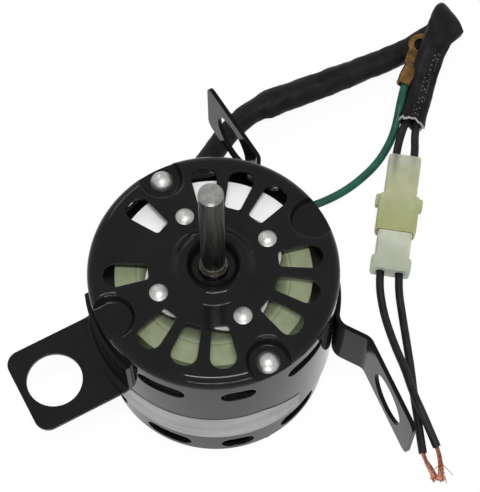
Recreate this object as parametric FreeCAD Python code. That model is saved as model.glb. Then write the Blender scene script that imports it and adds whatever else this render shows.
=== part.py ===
"""Draft inducer blower motor: a shaded pole motor in a vented drawn shell, with three mounting ears.

Millimetres. The origin is on the shaft axis, in the flat of the rear hub that the motor stands on.
+Z runs along the shaft, from the rear hub to the shaft's free end. Azimuths are degrees from +X.
"""
import FreeCAD, Part
import math
import os

V = FreeCAD.Vector
ORIGIN = V(0, 0, 0)
UP = V(0, 0, 1)
TINY = 1e-6

# Shell
face_z = 76.0
rear_face_z = 1.5
shell_radius = 42.0
sheet = 1.4
nest_gap = 0.15
shell_rim_z = 22.5
shell_corner_radius = 4.0
rear_corner_radius = 2.5

# Hubs, as heights above their own face
hub_recess_depth = 1.5
hub_recess_radius = 8.0
hub_recess_round = 1.5
hub_crest_height = 2.8
hub_crest_radius = 11.2
hub_crest_round = 2.2
hub_base_radius = 14.2
hub_base_round = 1.6
rear_boss_flat_radius = 11.8
rear_boss_round = 1.6

# Tie rivet pads pressed into both faces
pad_edge_distance = 4.8
pad_azimuth = 28.57
pad_count = 4
pad_depth = 3.5
pad_floor_radius = 6.1
pad_mouth_radius = 7.5
pad_floor_round = 0.8
pad_lip_round = 1.7
pad_lift = 0.002

# Vent slots in the faces
slot_pitch = 22.5
slot_inner_radius = 21.6
slot_edge_distance = 5.6
slot_inner_half_width = 2.7
slot_flare = 8.83
slot_inner_round_share = 0.48
slot_outer_round_share = 0.8
closed_slot_index = 6

# Vent slots in the walls
wall_slot_count = 10
wall_slot_start = -114.5
wall_slot_wide = 17.2
wall_slot_narrow = 11.8
wall_slot_height = 7.8
front_wall_slot_z = 63.9
rear_wall_slot_z = 9.9

# Shaft and rotor
shaft_radius = 3.97
shaft_end_z = 128.2
shaft_chamfer = 0.7
shaft_rear_gap = 1.0
journal_step = 0.1
relief_lift = 0.2
relief_width = 1.0
relief_depth = 0.27
press_gap = 0.01
core_z = 28.0
core_height = 24.0
air_gap = 0.3
rotor_share = 0.481
cage_inner_radius = 11.0
cage_step = 0.8
cage_ring_height = 5.0
cage_bar_count = 14
cage_bar_depth = 3.0
cage_bar_radius = 1.5
collar_radius = 6.2
washer_radius = 6.4
washer_thickness = 0.9
washer_play = 0.3

# Stator
shoe_thickness = 3.7
yoke_depth = 8.7
core_gap = 0.15
neck_half_width = 7.0
shoe_half_angle = 37.0
shading_half_angle = 24.0
shading_bar = 1.2

# Bobbins and windings
pole_count = 4
first_pole_azimuth = -16.43
bobbin_play = 0.3
bobbin_half_angle = 40.0
winding_half_angle = 38.0
bobbin_top_z = 70.0
bobbin_bottom_z = 12.0
bobbin_wall = 1.2
bobbin_lip_step = 0.8
bobbin_lip_thickness = 1.5
bobbin_lip_gap = 0.1
winding_gap = 0.1
cover_start = 40.0
cover_end = 152.0
cover_thickness = 0.8
cover_skirt = 14.0
cover_overhang = 1.1

# Bearings, their cups and the small rivets
bearing_ball_radius = 8.0
bearing_depth = 9.0
bearing_ball_half_height = 5.5
bearing_nose_radius = 4.8
bearing_nose_height = 1.0
bearing_tail_radius = 5.6
bearing_tail_length = 7.5
bearing_clearance = 0.03
cup_sheet = 1.0
cup_flange_half_width = 20.7
cup_flange_corner_radius = 13.6
cup_mouth_radius = 13.0
cup_floor_radius = 11.4
cup_depth = 13.1
cup_hole_radius = 6.8
cup_round = 1.6
felt_inner_radius = 8.3
felt_outer_radius = 10.9
felt_height = 6.0
rivet_circle_radius = 20.31
rivet_head_radius = 3.1
rivet_head_height = 1.35
rivet_shank_radius = 1.6
rivet_tail_radius = 2.3
rivet_tail_height = 0.7
hole_gap = 0.05

# Tie rivets
tie_shank_radius = 1.75
tie_head_radius = 4.0
tie_head_height = 2.9
tie_tail_radius = 2.6
tie_tail_height = 1.2

# Mounting ears
ear_sheet = 1.5
ear_hole_radius = 9.5
ear_seat_gap = 0.02
flat_ear_z = 45.4
flat_ear_top_z = 66.0
flat_ear_width = 30.6
flat_ear_corner_radius = 5.0
flat_ear_length = 31.8
flat_ear_hole_distance = 19.5
flat_ear_bend = 3.5
side_ear_z = 24.4
side_ear_width = 27.7
side_ear_hole_z = 37.4
side_ear_corner_radius = 3.5
side_ear_bend_distance = 13.3
side_ear_bend_azimuth = -17.35
side_ear_arm_heading = -27.6
side_ear_plate_heading = -66.7
side_ear_plate_length = 34.9
side_ear_hole_from_bend = 17.9
side_ear_bend_radius = 4.0
side_ear_foot_start = 9.5
side_ear_foot_end = -9.4
top_ear_bend_shift = 0.9
top_ear_plate_shift = 2.2

# Label
label_thickness = 0.2
label_gap = 0.03
label_bottom_z = 23.2
label_top_z = 42.0
label_start = -142.0
label_end = -46.0
label_cut_length = 14.6
label_cut_height = 6.7

# Lead bushing in the rear shell's wall
bushing_azimuth = 101.5
bushing_z = 11.0
bushing_width = 18.0
bushing_height = 10.4
bushing_flange = 1.1
bushing_stand_out = 1.6
bushing_depth = 4.0
sleeve_side = 2.9
ground_side = -5.6

# Leads
sleeve_diameter = 8.5
lead_diameter = 3.2
bend_share = 0.45
bare_radius = 1.1

# Connector, measured from its lead end along its own axis
connector_start_x = 73.7
connector_start_y = 78.0
connector_heading = 260.6
connector_height = 7.0
connector_edge_round = 1.3
contact_pitch = 7.2
receptacle_width = 12.8
receptacle_mouth_width = 15.8
receptacle_shoulder = 17.5
receptacle_length = 33.0
receptacle_floor = 20.5
receptacle_wall = 1.0
ear_lug_width = 18.4
ear_lug_length = 4.7
ear_lug_thickness = 3.4
ear_lug_round = 0.8
plug_gap = 0.3
plug_width = 13.1
plug_flange_width = 15.4
plug_flange_start = 44.0
plug_end = 49.6
lead_depth = 4.0
lead_straight = 4.0
crimp_depth = 6.0
contact_radius = 1.6
pin_radius = 1.2
pin_tip = 31.0
socket_bore_radius = 1.3
socket_outer_radius = 1.65
socket_crimp_start = 40.0
contact_bore_radius = 1.75

# Ring terminal
terminal_x = 82.2
terminal_y = 127.2
terminal_z = 8.6
terminal_heading = 245.3
terminal_ring_radius = 5.25
terminal_hole_radius = 3.2
terminal_sheet = 0.8
terminal_tongue_width = 4.4
terminal_barrel_start = 9.0
terminal_length = 20.4
terminal_barrel_radius = 2.2

# Routes of the free leads, as points of their centre lines
sleeve_route = [
    (-12.7, 48.0, 11.0), (-11.5, 59.5, 9.0), (-7.5, 70.0, 6.2), (-1.9, 79.6, 4.6), (5.5, 90.5, 4.25),
    (13.6, 99.6, 4.25), (24.4, 104.9, 4.25), (36.5, 108.8, 4.25), (49.1, 114.1, 4.25),
    (61.4, 119.7, 4.25), (71.7, 125.6, 4.25), (80.5, 132.6, 4.25), (88.0, 139.5, 4.25),
    (94.0, 140.0, 9.5), (95.3, 134.9, 15.5), (90.3, 128.0, 17.0), (87.0, 119.0, 12.0),
    (84.0, 111.0, 8.0), (80.4, 102.5, 5.0), (76.9, 93.8, 4.7)]
ground_route = [
    (-3.87, 47.2, 11.0), (-2.6, 53.5, 9.5), (2.5, 58.5, 6.5), (10.0, 60.0, 3.8), (19.0, 59.0, 2.1),
    (27.5, 57.6, 1.6), (33.0, 57.5, 1.6), (38.4, 59.0, 1.6), (43.9, 61.5, 1.6), (49.9, 65.0, 1.6),
    (55.9, 69.8, 1.6), (62.0, 76.0, 1.6), (66.2, 82.3, 1.6), (69.6, 89.2, 2.2), (71.5, 96.0, 4.6),
    (72.7, 102.3, 7.6)]
upper_left_route = [(74.8, 94.7, 4.7), (72.9, 89.8, 4.3)]
upper_right_route = [(79.0, 92.9, 4.7), (77.9, 88.0, 4.3)]
lower_left_route = [
    (62.7, 14.6, 1.6), (64.7, 6.5, 1.6), (67.0, -1.5, 2.4), (69.6, -10.2, 5.2),
    (72.2, -20.0, 5.5), (75.0, -26.9, 5.2), (78.0, -33.4, 2.4), (80.2, -39.0, 1.6)]
lower_right_route = [
    (70.1, 10.6, 1.6), (71.2, 0.5, 1.6), (72.2, -9.4, 1.6), (72.8, -19.2, 1.6),
    (73.6, -26.9, 1.6), (74.3, -34.5, 1.6), (75.0, -41.3, 1.6)]
bare_left_end = (81.0, -52.0, 1.2)
bare_right_end = (78.6, -51.6, 1.2)

# Values that follow from the sizes above
core_top_z = core_z + core_height
pad_circle_radius = shell_radius - pad_edge_distance
slot_outer_radius = shell_radius - slot_edge_distance
slot_outer_half_width = (slot_inner_half_width
                         + (slot_outer_radius - slot_inner_radius) * math.tan(math.radians(slot_flare)))
rotor_radius = shell_radius * rotor_share
stator_bore_radius = rotor_radius + air_gap
cage_outer_radius = rotor_radius - cage_step
cage_bar_circle = rotor_radius - cage_bar_depth
shoe_outer_radius = stator_bore_radius + shoe_thickness
yoke_inner_radius = shell_radius - yoke_depth
bobbin_inner_radius = shoe_outer_radius + bobbin_play
bobbin_outer_radius = yoke_inner_radius - bobbin_play
bobbin_lip_radius = stator_bore_radius + bobbin_lip_gap
bobbin_lip_top_z = bobbin_top_z - bobbin_lip_step
rear_shell_radius = shell_radius - sheet - nest_gap
rear_boss_height = rear_face_z
front_bearing_z = face_z - bearing_depth
journal_radius = shaft_radius + journal_step
relief_start_z = face_z + hub_crest_height + relief_lift
relief_end_z = relief_start_z + relief_width
relief_radius = shaft_radius - relief_depth
rear_bearing_z = rear_face_z + bearing_depth
pad_azimuths = [pad_azimuth + 360 / pad_count * k for k in range(pad_count)]
tie_azimuths = pad_azimuths[1::2]
pole_azimuths = [first_pole_azimuth + 360 / pole_count * k for k in range(pole_count)]
bushing_reach = shell_radius + bushing_stand_out
bushing_root = shell_radius - bushing_depth
connector_start = V(connector_start_x, connector_start_y, 0)
connector_axis_z = connector_height / 2
terminal_centre = V(terminal_x, terminal_y, 0)
sleeve_radius = sleeve_diameter / 2
lead_radius = lead_diameter / 2
cut_reach = 4.0


def polar(radius, azimuth, z=0.0):
    """Point at a radius and azimuth about the shaft axis."""
    angle = math.radians(azimuth)
    return V(radius * math.cos(angle), radius * math.sin(angle), z)


def rounded_path(points, radii):
    """Edges of straight runs between the points, joined by tangent arcs of the given radii."""
    edges = []
    start = points[0]
    for before, corner, after, radius in zip(points, points[1:], points[2:], radii[1:]):
        arrive = (corner - before).normalize()
        leave = (after - corner).normalize()
        half_turn = arrive.getAngle(leave) / 2
        setback = radius * math.tan(half_turn)
        arc_start = corner - arrive * setback
        if (arc_start - start).Length > TINY:
            edges.append(Part.LineSegment(start, arc_start).toShape())
        start = arc_start
        if setback > TINY:
            inward = (leave - arrive).normalize()
            middle = corner + inward * (radius / math.cos(half_turn) - radius)
            arc_end = corner + leave * setback
            edges.append(Part.Arc(arc_start, middle, arc_end).toShape())
            start = arc_end
    if (points[-1] - start).Length > TINY:
        edges.append(Part.LineSegment(start, points[-1]).toShape())
    return edges


def flat_point(x, y):
    """Point of a plan outline."""
    return V(x, y, 0)


def section_point(radius, z):
    """Point of an outline that is turned about the shaft axis."""
    return V(radius, 0, z)


def rounded_face(corners, to_point):
    """Face inside a closed outline of corners (a, b, corner radius)."""
    points = [to_point(a, b) for a, b, _ in corners]
    radii = [radius for _, _, radius in corners]
    seam = (points[0] + points[-1]) * 0.5
    edges = rounded_path([seam] + points + [seam], [0] + radii + [0])
    return Part.Face(Part.Wire(edges))


def moved_outline(corners, distance):
    """Open outline of corners (a, b, radius) moved to its right by distance, arcs keeping their centres."""
    runs = []
    for first, second in zip(corners, corners[1:]):
        length = math.hypot(second[0] - first[0], second[1] - first[1])
        runs.append(((second[0] - first[0]) / length, (second[1] - first[1]) / length))
    moved = []
    for index, (a, b, radius) in enumerate(corners):
        arrive = runs[max(index - 1, 0)]
        leave = runs[min(index, len(runs) - 1)]
        turn = arrive[0] * leave[1] - arrive[1] * leave[0]
        shift = distance / (1 + arrive[0] * leave[0] + arrive[1] * leave[1])
        new_radius = radius + distance * math.copysign(1, turn) if radius > 0 else 0
        new_a = a + shift * (arrive[1] + leave[1])
        new_b = b - shift * (arrive[0] + leave[0])
        moved.append((new_a, new_b, max(new_radius, 0)))
    return moved


def band_face(corners, thickness, to_point):
    """Face between an open outline and the same outline moved to its right by thickness."""
    edges = []
    ends = []
    for outline in (corners, moved_outline(corners, thickness)):
        points = [to_point(a, b) for a, b, _ in outline]
        edges += rounded_path(points, [radius for _, _, radius in outline])
        ends.append((points[0], points[-1]))
    edges += [Part.LineSegment(ends[0][side], ends[1][side]).toShape() for side in (0, 1)]
    return Part.Face(Part.Wire(Part.sortEdges(edges)[0]))


def turned(corners):
    """Solid turned about the shaft axis from a closed outline of corners (radius, z, corner radius)."""
    return rounded_face(corners, section_point).revolve(ORIGIN, UP, 360)


def tube(outer, inner, z0, z1):
    """Plain ring about the shaft axis."""
    return turned([(inner, z0, 0), (outer, z0, 0), (outer, z1, 0), (inner, z1, 0)])


def sector(inner, outer, z0, z1, middle, half_angle):
    """Part of a ring about the shaft axis, half_angle to each side of the azimuth middle."""
    face = rounded_face([(inner, z0, 0), (outer, z0, 0), (outer, z1, 0), (inner, z1, 0)], section_point)
    face.rotate(ORIGIN, UP, middle - half_angle)
    return face.revolve(ORIGIN, UP, 2 * half_angle)


def block(x0, x1, y0, y1, z0, z1):
    """Box between two corners."""
    return Part.makeBox(x1 - x0, y1 - y0, z1 - z0, V(x0, y0, z0))


def at_azimuth(shape, azimuth):
    """Copy of a shape turned from +X to an azimuth."""
    copy = shape.copy()
    copy.rotate(ORIGIN, UP, azimuth)
    return copy


def mirrored_to_rear(shape):
    """Copy of a shape that is drawn on the front face's level, set on the rear face."""
    return shape.mirror(ORIGIN, UP).translated(V(0, 0, rear_face_z))


# Drawn shells: both are drawn with their face at height 0 and their open end below it
front_hub = [
    (0, -hub_recess_depth, 0),
    (hub_recess_radius, -hub_recess_depth, hub_recess_round),
    (hub_recess_radius, hub_crest_height, hub_crest_round),
    (hub_crest_radius, hub_crest_height, hub_crest_round),
    (hub_base_radius, 0, hub_base_round)]
rear_hub = [
    (0, rear_boss_height, 0),
    (rear_boss_flat_radius, rear_boss_height, rear_boss_round),
    (hub_base_radius, 0, hub_base_round)]


def pad_cutters(inset):
    """What the rivet pads take out of the front shell's outer surface, or of its inner one at inset."""
    lip_turn = math.atan2(pad_depth, pad_mouth_radius - pad_floor_radius)
    half = moved_outline([
        (0, -pad_depth, 0),
        (pad_floor_radius, -pad_depth, pad_floor_round),
        (pad_mouth_radius, 0, pad_lip_round),
        (pad_mouth_radius + pad_lip_round * math.tan(lip_turn / 2), 0, 0)], inset)
    half += [(half[-1][0], cut_reach, 0)]
    section = rounded_face(half + [(0, cut_reach, 0)], section_point)
    section.rotate(ORIGIN, UP, 90)
    bowl = section.revolve(ORIGIN, UP, 180)
    across = half[1:] + [(-side, z, radius) for side, z, radius in half[:0:-1]]
    trough = rounded_face(across, lambda side, z: V(0, side, z)).extrude(V(2 * pad_edge_distance, 0, 0))
    pocket = bowl.fuse(trough).removeSplitter()
    return [at_azimuth(pocket, azimuth).translated(polar(pad_circle_radius, azimuth, pad_lift))
            for azimuth in pad_azimuths]


def drawn_form(hub, radius, corner_radius, skirt, inset):
    """Solid inside a shell's outer surface, or inside its inner surface at inset sheet."""
    outline = moved_outline(hub + [(radius, 0, corner_radius), (radius, -skirt - inset, 0)], inset)
    return turned(outline + [(0, -skirt - inset, 0)])


def face_slots(closed):
    """Cutters of the tapered vent slots, which leave out the pads and any closed place."""
    inner_round = slot_inner_half_width * slot_inner_round_share
    outer_round = slot_outer_half_width * slot_outer_round_share
    outline = [
        (slot_inner_radius, -slot_inner_half_width, inner_round),
        (slot_outer_radius, -slot_outer_half_width, outer_round),
        (slot_outer_radius, slot_outer_half_width, outer_round),
        (slot_inner_radius, slot_inner_half_width, inner_round)]
    slot = rounded_face(outline, flat_point).extrude(UP * 2 * cut_reach)
    slot.translate(V(0, 0, -cut_reach))
    count = round(360 / slot_pitch)
    open_places = [k for k in range(count) if k % (count // pad_count) and k not in closed]
    return [at_azimuth(slot, pad_azimuth + slot_pitch * k) for k in open_places]


def wall_slots(radius, z, closed):
    """Cutters of the wall slots, wide and narrow in turn, at a height in the shell's own frame."""
    cutters = []
    half_height = wall_slot_height / 2
    for index in range(wall_slot_count):
        azimuth = wall_slot_start + 360 / wall_slot_count * index
        if azimuth in closed:
            continue
        half_width = (wall_slot_narrow if index % 2 else wall_slot_wide) / 2
        outline = [
            (-half_width, z - half_height, half_height), (half_width, z - half_height, half_height),
            (half_width, z + half_height, half_height), (-half_width, z + half_height, half_height)]
        face = rounded_face(outline, lambda y, height: V(radius - cut_reach, y, height))
        cutters.append(at_azimuth(face.extrude(V(2 * cut_reach, 0, 0)), azimuth))
    return cutters


def shell_holes(centre_radius):
    """Cutters of the shaft hole, the small rivet holes and the tie rivet holes."""
    holes = []
    if centre_radius:
        holes.append(Part.makeCylinder(centre_radius, 4 * cut_reach, V(0, 0, -2 * cut_reach)))
    for azimuth in pad_azimuths:
        start = polar(rivet_circle_radius, azimuth, -cut_reach)
        holes.append(Part.makeCylinder(rivet_shank_radius + hole_gap, 2 * cut_reach, start))
    for azimuth in tie_azimuths:
        start = polar(pad_circle_radius, azimuth, -pad_depth - cut_reach)
        holes.append(Part.makeCylinder(tie_shank_radius + hole_gap, 2 * cut_reach, start))
    return holes


def front_shell():
    """Front shell: the vented face, the raised hub ring and the long skirt."""
    skirt = face_z - shell_rim_z
    forms = []
    for inset in (0, sheet):
        form = drawn_form(front_hub, shell_radius, shell_corner_radius, skirt, inset)
        for cutter in pad_cutters(inset):
            form = form.cut(cutter)
        forms.append(form)
    shell = forms[0].cut(forms[1])
    shell = shell.cut(wall_slots(shell_radius, front_wall_slot_z - face_z, []))
    cutters = face_slots([closed_slot_index]) + shell_holes(bearing_nose_radius + 2 * hole_gap)
    return shell.cut(cutters).translated(V(0, 0, face_z))


def rear_shell():
    """Rear shell: nests in the front one, with a closed hub that the motor stands on."""
    skirt = core_z - rear_face_z
    shell = drawn_form(rear_hub, rear_shell_radius, rear_corner_radius, skirt, 0).cut(
        drawn_form(rear_hub, rear_shell_radius, rear_corner_radius, skirt, sheet))
    shell = shell.cut(wall_slots(rear_shell_radius, rear_face_z - rear_wall_slot_z, [bushing_azimuth]))
    shell = mirrored_to_rear(shell.cut(face_slots([]) + shell_holes(0)))
    half_width = bushing_width / 2 + hole_gap
    half_height = bushing_height / 2 + hole_gap
    opening = block(bushing_root, bushing_reach, -half_width, half_width,
                    bushing_z - half_height, bushing_z + half_height)
    return shell.cut(at_azimuth(opening, bushing_azimuth))


def stator_core():
    """Laminated yoke with four poles and their shoes, and the holes of the tie rivets."""
    yoke_radius = shell_radius - sheet - core_gap
    core = tube(yoke_radius, yoke_inner_radius, core_z, core_top_z)
    for azimuth in pole_azimuths:
        shoe = sector(stator_bore_radius, shoe_outer_radius, core_z, core_top_z, azimuth, shoe_half_angle)
        neck = block(shoe_outer_radius - 1, yoke_inner_radius + 1, -neck_half_width, neck_half_width,
                     core_z, core_top_z)
        core = core.fuse([shoe, at_azimuth(neck, azimuth)])
        slot = sector(stator_bore_radius - 1, stator_bore_radius + shading_bar, core_z, core_top_z,
                      azimuth + shading_half_angle, 1.5)
        core = core.cut(slot)
    for azimuth in tie_azimuths:
        start = polar(pad_circle_radius, azimuth, core_z)
        core = core.cut(Part.makeCylinder(tie_shank_radius + hole_gap, core_height, start))
    return core.removeSplitter()


def shading_coils():
    """Copper loops round one tip of each pole shoe, against its two ends."""
    coils = []
    for azimuth in pole_azimuths:
        middle = azimuth + (shading_half_angle + shoe_half_angle) / 2 + 1
        half = (shoe_half_angle - shading_half_angle) / 2 + 1
        ends = [sector(stator_bore_radius, shoe_outer_radius, z, z + shading_bar, middle, half)
                for z in (core_z - shading_bar, core_top_z)]
        leg = sector(stator_bore_radius + hole_gap, stator_bore_radius + shading_bar - hole_gap,
                     core_z - shading_bar, core_top_z + shading_bar, azimuth + shading_half_angle, 1.3)
        coils.append(leg.fuse(ends).removeSplitter())
    return Part.makeCompound(coils)


def neck_box(half_width, z_margin):
    """Block along +X through a pole neck, wider than it by a margin."""
    return block(bobbin_lip_radius - 1, bobbin_outer_radius + 1, -half_width, half_width,
                 core_z - z_margin, core_top_z + z_margin)


def bobbin():
    """Moulded bobbin on the pole at azimuth 0: two curved flanges, a neck tube and hoods over both ends."""
    inner, outer, wall = bobbin_inner_radius, bobbin_outer_radius, bobbin_wall
    body = sector(inner, outer, bobbin_bottom_z, bobbin_top_z, 0, bobbin_half_angle)
    space = sector(inner + wall, outer - wall, bobbin_bottom_z + wall, bobbin_top_z - wall,
                   0, 2 * bobbin_half_angle)
    margin = hole_gap * 2
    body = body.cut(space.cut(neck_box(neck_half_width + margin + wall, margin + wall)))
    lip = sector(bobbin_lip_radius, inner + wall, bobbin_lip_top_z - bobbin_lip_thickness, bobbin_lip_top_z,
                 0, bobbin_half_angle)
    return body.fuse(lip).cut(neck_box(neck_half_width + margin, margin)).removeSplitter()


def winding():
    """Coil wound on the bobbin at azimuth 0."""
    inner = bobbin_inner_radius + bobbin_wall + winding_gap
    outer = bobbin_outer_radius - bobbin_wall - winding_gap
    inset = bobbin_wall + winding_gap
    coil = sector(inner, outer, bobbin_bottom_z + inset, bobbin_top_z - inset, 0, winding_half_angle)
    margin = 2 * hole_gap + inset
    return coil.cut(neck_box(neck_half_width + margin, margin))


def lead_cover():
    """White cover over the coil ends where the leads go out, with a skirt down their outside."""
    middle = (cover_start + cover_end) / 2
    half = (cover_end - cover_start) / 2
    inner = bobbin_outer_radius + hole_gap
    outer = inner + cover_thickness
    plate = sector(bobbin_inner_radius - cover_overhang, outer, bobbin_top_z, bobbin_top_z + cover_thickness,
                   middle, half)
    skirt = sector(inner, outer, bobbin_top_z - cover_skirt, bobbin_top_z, middle, half)
    return plate.fuse(skirt).removeSplitter()


def bearing(nose_length):
    """Self-aligning sleeve bearing, centred at height 0, with its nose up and its tail down."""
    half = bearing_ball_half_height
    radius = bearing_ball_radius
    ball = Part.makeSphere(radius).common(block(-radius, radius, -radius, radius, -half, half))
    tail = Part.makeCylinder(bearing_tail_radius, bearing_tail_length, V(0, 0, -bearing_tail_length))
    parts = [tail]
    if nose_length:
        parts.append(Part.makeCylinder(bearing_nose_radius, nose_length))
    reach = bearing_depth + cut_reach
    bore = Part.makeCylinder(journal_radius + bearing_clearance, 2 * reach, V(0, 0, -reach))
    return ball.fuse(parts).cut(bore).removeSplitter()


def bearing_cup():
    """Bright cup under the face that holds the bearing and its felt, drawn with the face at height 0."""
    corners = [
        (2 * cup_flange_half_width, -sheet, 0),
        (cup_mouth_radius, -sheet, cup_round),
        (cup_floor_radius, -sheet - cup_depth, cup_round),
        (cup_hole_radius, -sheet - cup_depth, 0)]
    cup = band_face(corners, -cup_sheet, section_point).revolve(ORIGIN, UP, 360)
    half = cup_flange_half_width
    corner = cup_flange_corner_radius
    square = [(-half, -half, corner), (half, -half, corner), (half, half, corner), (-half, half, corner)]
    plate = rounded_face(square, flat_point).extrude(UP * 2 * cup_depth).translated(V(0, 0, -2 * cup_depth))
    cup = cup.common(at_azimuth(plate, pad_azimuth + 45))
    holes = []
    for azimuth in pad_azimuths:
        start = polar(rivet_circle_radius, azimuth, -cut_reach)
        holes.append(Part.makeCylinder(rivet_shank_radius + hole_gap, 2 * cut_reach, start))
    return cup.cut(holes)


def felt():
    """Oil felt ring between the bearing and its cup, drawn with the face at height 0."""
    middle = -bearing_depth
    return tube(felt_outer_radius, felt_inner_radius, middle - felt_height / 2, middle + felt_height / 2)


def dome(radius, height):
    """Rivet head in the form of a part of a ball, standing on height 0."""
    ball_radius = (radius ** 2 + height ** 2) / (2 * height)
    ball = Part.makeSphere(ball_radius, V(0, 0, height - ball_radius))
    return ball.common(Part.makeCylinder(radius, height))


def cup_rivets():
    """The four rivets of a bearing cup, drawn with the face at height 0."""
    tail_top = -sheet - cup_sheet
    tail_end = tail_top - rivet_tail_height
    shank = turned([
        (0, 0, 0), (rivet_shank_radius, 0, 0), (rivet_shank_radius, tail_top, 0),
        (rivet_tail_radius, tail_top, 0), (rivet_tail_radius, tail_end, 0), (0, tail_end, 0)])
    rivet = dome(rivet_head_radius, rivet_head_height).fuse(shank)
    places = [polar(rivet_circle_radius, azimuth) for azimuth in pad_azimuths]
    return Part.makeCompound([rivet.translated(place) for place in places])


def tie_rivets():
    """The two long rivets that hold the shells and the stator together."""
    head_z = face_z - pad_depth + pad_lift
    tail_z = rear_face_z
    tail_end = tail_z - tie_tail_height
    shank = turned([
        (0, head_z, 0), (tie_shank_radius, head_z, 0), (tie_shank_radius, tail_z, 0),
        (tie_tail_radius, tail_z, 0), (tie_tail_radius, tail_end, 0), (0, tail_end, 0)])
    rivet = dome(tie_head_radius, tie_head_height).translated(V(0, 0, head_z)).fuse(shank)
    places = [polar(pad_circle_radius, azimuth) for azimuth in tie_azimuths]
    return Part.makeCompound([rivet.translated(place) for place in places])


def shaft():
    """Shaft with thicker journals in the motor, a relief groove at the hub, and chamfered ends."""
    start = sheet + shaft_rear_gap
    return turned([
        (0, start, 0), (journal_radius - shaft_chamfer, start, 0),
        (journal_radius, start + shaft_chamfer, 0), (journal_radius, relief_start_z, 0),
        (relief_radius, relief_start_z, 0), (relief_radius, relief_end_z, 0),
        (shaft_radius, relief_end_z, 0), (shaft_radius, shaft_end_z - shaft_chamfer, 0),
        (shaft_radius - shaft_chamfer, shaft_end_z, 0), (0, shaft_end_z, 0)])


def bar_cylinders(radius):
    """Round bars of the rotor's cage, or their holes in its core."""
    pitch = 360 / cage_bar_count
    return [Part.makeCylinder(radius, core_height, polar(cage_bar_circle, pitch * k, core_z))
            for k in range(cage_bar_count)]


def rotor_core():
    """Laminated rotor core."""
    core = tube(rotor_radius, journal_radius + press_gap, core_z, core_top_z)
    return core.cut(bar_cylinders(cage_bar_radius + press_gap))


def rotor_cage():
    """Cast aluminium cage: bars through the core and a ring at each end."""
    rings = [
        tube(cage_outer_radius, cage_inner_radius, core_z - cage_ring_height, core_z),
        tube(cage_outer_radius, cage_inner_radius, core_top_z, core_top_z + cage_ring_height)]
    return rings[0].fuse([rings[1]] + bar_cylinders(cage_bar_radius)).removeSplitter()


front_washer_top = front_bearing_z - bearing_tail_length - washer_play
front_washer_bottom = front_washer_top - washer_thickness
rear_washer_bottom = rear_bearing_z + bearing_tail_length + washer_play
rear_washer_top = rear_washer_bottom + washer_thickness


def shaft_ring(radius, z0, z1):
    """Ring on the shaft."""
    return tube(radius, journal_radius + press_gap, z0, z1)


def flat_ear():
    """Ear whose plate lies level: a curved foot on the shell's wall, a bend and the plate with its hole."""
    inner = shell_radius + ear_seat_gap
    half = flat_ear_width / 2
    flange_reach = inner + flat_ear_bend + 2 * ear_sheet
    end = shell_radius + flat_ear_length
    bend = [(inner, flat_ear_top_z, 0), (inner, flat_ear_z, flat_ear_bend), (flange_reach, flat_ear_z, 0)]
    foot = band_face(bend, -ear_sheet, section_point).revolve(ORIGIN, UP, 360)
    foot = foot.common(block(0, flange_reach, -half, half, flat_ear_z, flat_ear_top_z))
    plate = rounded_face([
        (inner + flat_ear_bend, -half, 0), (end, -half, flat_ear_corner_radius),
        (end, half, flat_ear_corner_radius), (inner + flat_ear_bend, half, 0)], flat_point)
    plate = plate.extrude(UP * ear_sheet).translated(V(0, 0, flat_ear_z))
    centre = V(shell_radius + flat_ear_hole_distance, 0, flat_ear_z - ear_sheet)
    hole = Part.makeCylinder(ear_hole_radius, 4 * ear_sheet, centre)
    return at_azimuth(foot.fuse(plate).cut(hole).removeSplitter(), pad_azimuths[2])


def side_ear(bend_azimuth, plate_heading):
    """Ear whose plate stands upright: a foot on the wall, a short arm and the plate with its hole."""
    inner = shell_radius + ear_seat_gap
    bend_reach = shell_radius + side_ear_bend_distance
    bend = polar(bend_reach, bend_azimuth)
    along = polar(1, plate_heading)
    tip = bend + along * side_ear_plate_length
    leaving = polar(inner + ear_sheet / 2, side_ear_foot_end)
    wall_heading = side_ear_foot_end - 90
    turn = side_ear_arm_heading - wall_heading
    across = polar(1, side_ear_arm_heading + 90)
    wall_run = (bend - leaving).dot(across) / polar(1, wall_heading).dot(across)
    root = leaving + polar(wall_run, wall_heading)
    root_radius = wall_run / math.tan(math.radians(turn) / 2)
    middle_line = [
        (leaving.x, leaving.y, 0), (root.x, root.y, root_radius),
        (bend.x, bend.y, side_ear_bend_radius + ear_sheet / 2), (tip.x, tip.y, 0)]
    strip = band_face(moved_outline(middle_line, -ear_sheet / 2), ear_sheet, flat_point)
    strip = strip.extrude(UP * side_ear_width).translated(V(0, 0, side_ear_z))
    top_z = side_ear_z + side_ear_width
    foot_middle = (side_ear_foot_start + side_ear_foot_end) / 2
    half_foot = side_ear_foot_start - foot_middle
    foot = sector(inner, inner + ear_sheet, side_ear_z, top_z, foot_middle, half_foot)
    reach = 2 * bend_reach
    end = side_ear_plate_length
    corner = side_ear_corner_radius
    outline = [
        (end - reach, side_ear_z, 0), (end, side_ear_z, corner),
        (end, top_z, corner), (end - reach, top_z, 0)]
    mask = rounded_face(outline, lambda s, z: V(s, -reach, z)).extrude(V(0, 2 * reach, 0))
    mask = at_azimuth(mask, plate_heading).translated(bend)
    normal = polar(1, plate_heading + 90)
    centre = bend + along * side_ear_hole_from_bend + V(0, 0, side_ear_hole_z)
    hole = Part.makeCylinder(ear_hole_radius, 4 * ear_sheet, centre - normal * 2 * ear_sheet, normal)
    return strip.common(mask).cut(hole).fuse(foot).removeSplitter()


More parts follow.
